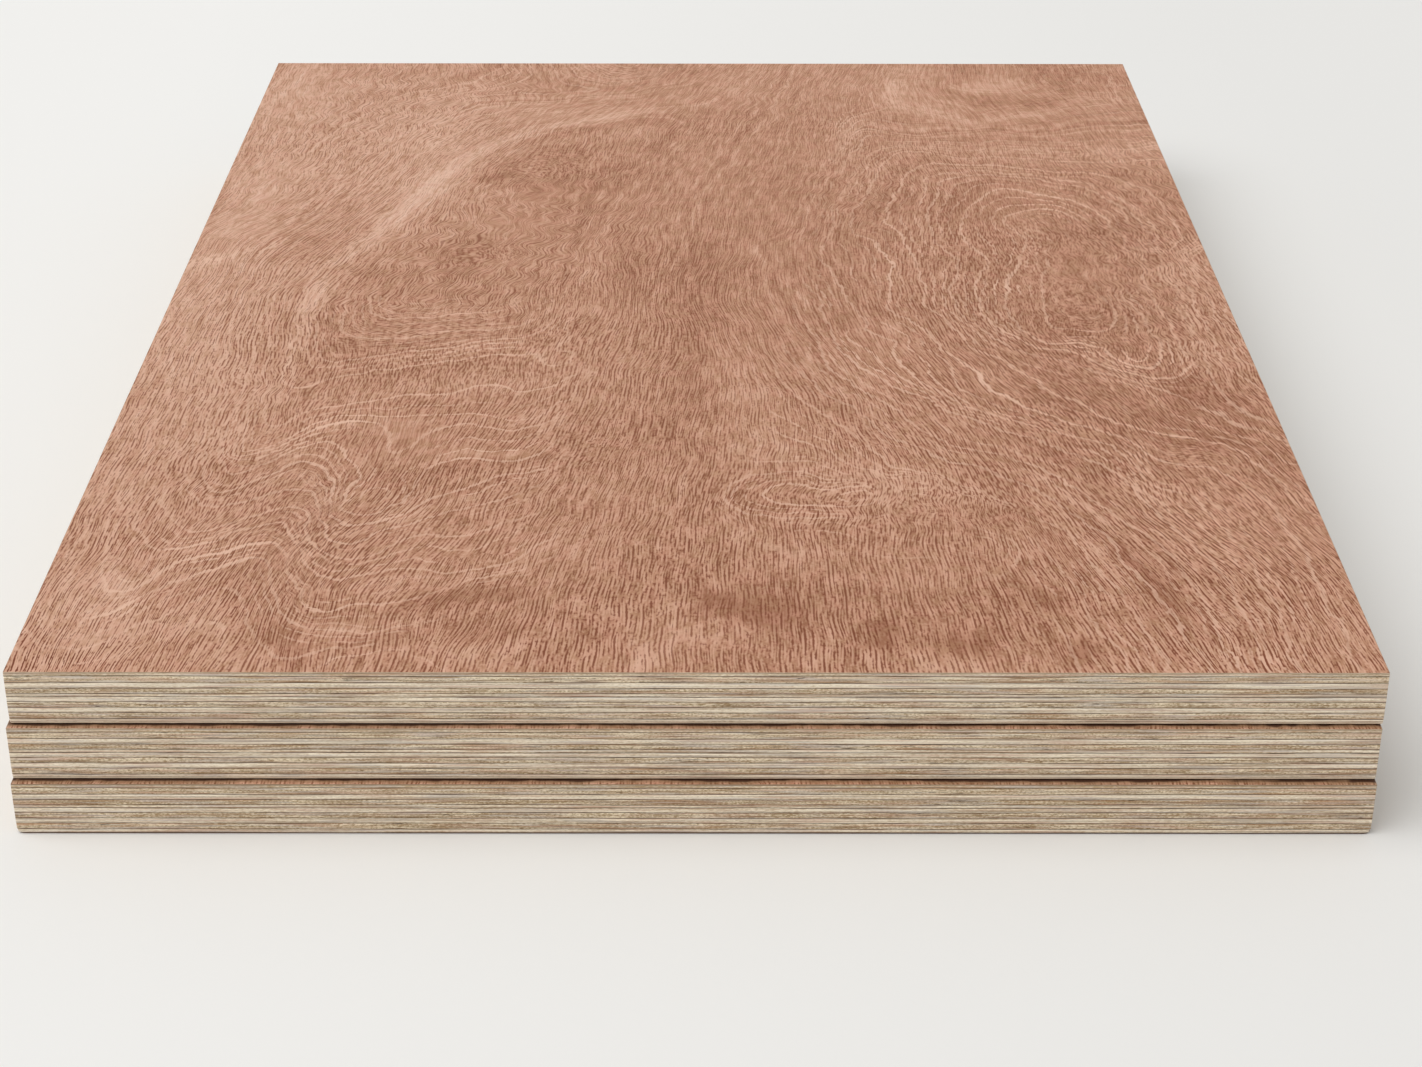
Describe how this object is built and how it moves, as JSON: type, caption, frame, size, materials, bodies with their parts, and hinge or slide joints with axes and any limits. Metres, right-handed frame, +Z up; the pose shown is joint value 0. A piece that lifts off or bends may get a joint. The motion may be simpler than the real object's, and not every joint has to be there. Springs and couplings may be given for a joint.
{
  "type": "stack of plywood sheets",
  "caption": "Flat stack of equal rectangular plywood panels lying one on another, each glued up from crossed wood veneers with red-brown faces.",
  "frame": {"origin": "middle of the stack's footprint, on the surface it lies on", "axes": "+X along the front edge (the short side of the panels), +Y from the front to the back (the long side), +Z up through the stack"},
  "size_m": [0.4208, 0.5992, 0.0548],
  "materials": {
    "face_veneer": "sanded red-brown hardwood, dull, with short dark pores and swirling pale growth lines",
    "back_veneer": "sanded red-brown hardwood, dull",
    "core_ply_across": "pale peeled hardwood, sawn edge, dull, grain running side to side",
    "core_ply_along": "pale grey-tan peeled hardwood, sawn edge, dull, grain running front to back"
  },
  "bodies": {
    "root": {"top_sheet_face_veneer": "face_veneer", "top_sheet_core_ply_1": "core_ply_across", "top_sheet_core_ply_2": "core_ply_along", "top_sheet_core_ply_3": "core_ply_across", "top_sheet_core_ply_4": "core_ply_along", "top_sheet_core_ply_5": "core_ply_across", "top_sheet_core_ply_6": "core_ply_across", "top_sheet_core_ply_7": "core_ply_along", "top_sheet_core_ply_8": "core_ply_across", "top_sheet_core_ply_9": "core_ply_along", "top_sheet_core_ply_10": "core_ply_across", "top_sheet_back_veneer": "back_veneer", "middle_sheet_face_veneer": "face_veneer", "middle_sheet_core_ply_1": "core_ply_across", "middle_sheet_core_ply_2": "core_ply_along", "middle_sheet_core_ply_3": "core_ply_across", "middle_sheet_core_ply_4": "core_ply_along", "middle_sheet_core_ply_5": "core_ply_across", "middle_sheet_core_ply_6": "core_ply_across", "middle_sheet_core_ply_7": "core_ply_along", "middle_sheet_core_ply_8": "core_ply_across", "middle_sheet_core_ply_9": "core_ply_along", "middle_sheet_core_ply_10": "core_ply_across", "middle_sheet_back_veneer": "back_veneer", "bottom_sheet_face_veneer": "face_veneer", "bottom_sheet_core_ply_1": "core_ply_across", "bottom_sheet_core_ply_2": "core_ply_along", "bottom_sheet_core_ply_3": "core_ply_across", "bottom_sheet_core_ply_4": "core_ply_along", "bottom_sheet_core_ply_5": "core_ply_across", "bottom_sheet_core_ply_6": "core_ply_across", "bottom_sheet_core_ply_7": "core_ply_along", "bottom_sheet_core_ply_8": "core_ply_across", "bottom_sheet_core_ply_9": "core_ply_along", "bottom_sheet_core_ply_10": "core_ply_across", "bottom_sheet_back_veneer": "back_veneer"}
  },
  "joints": []
}
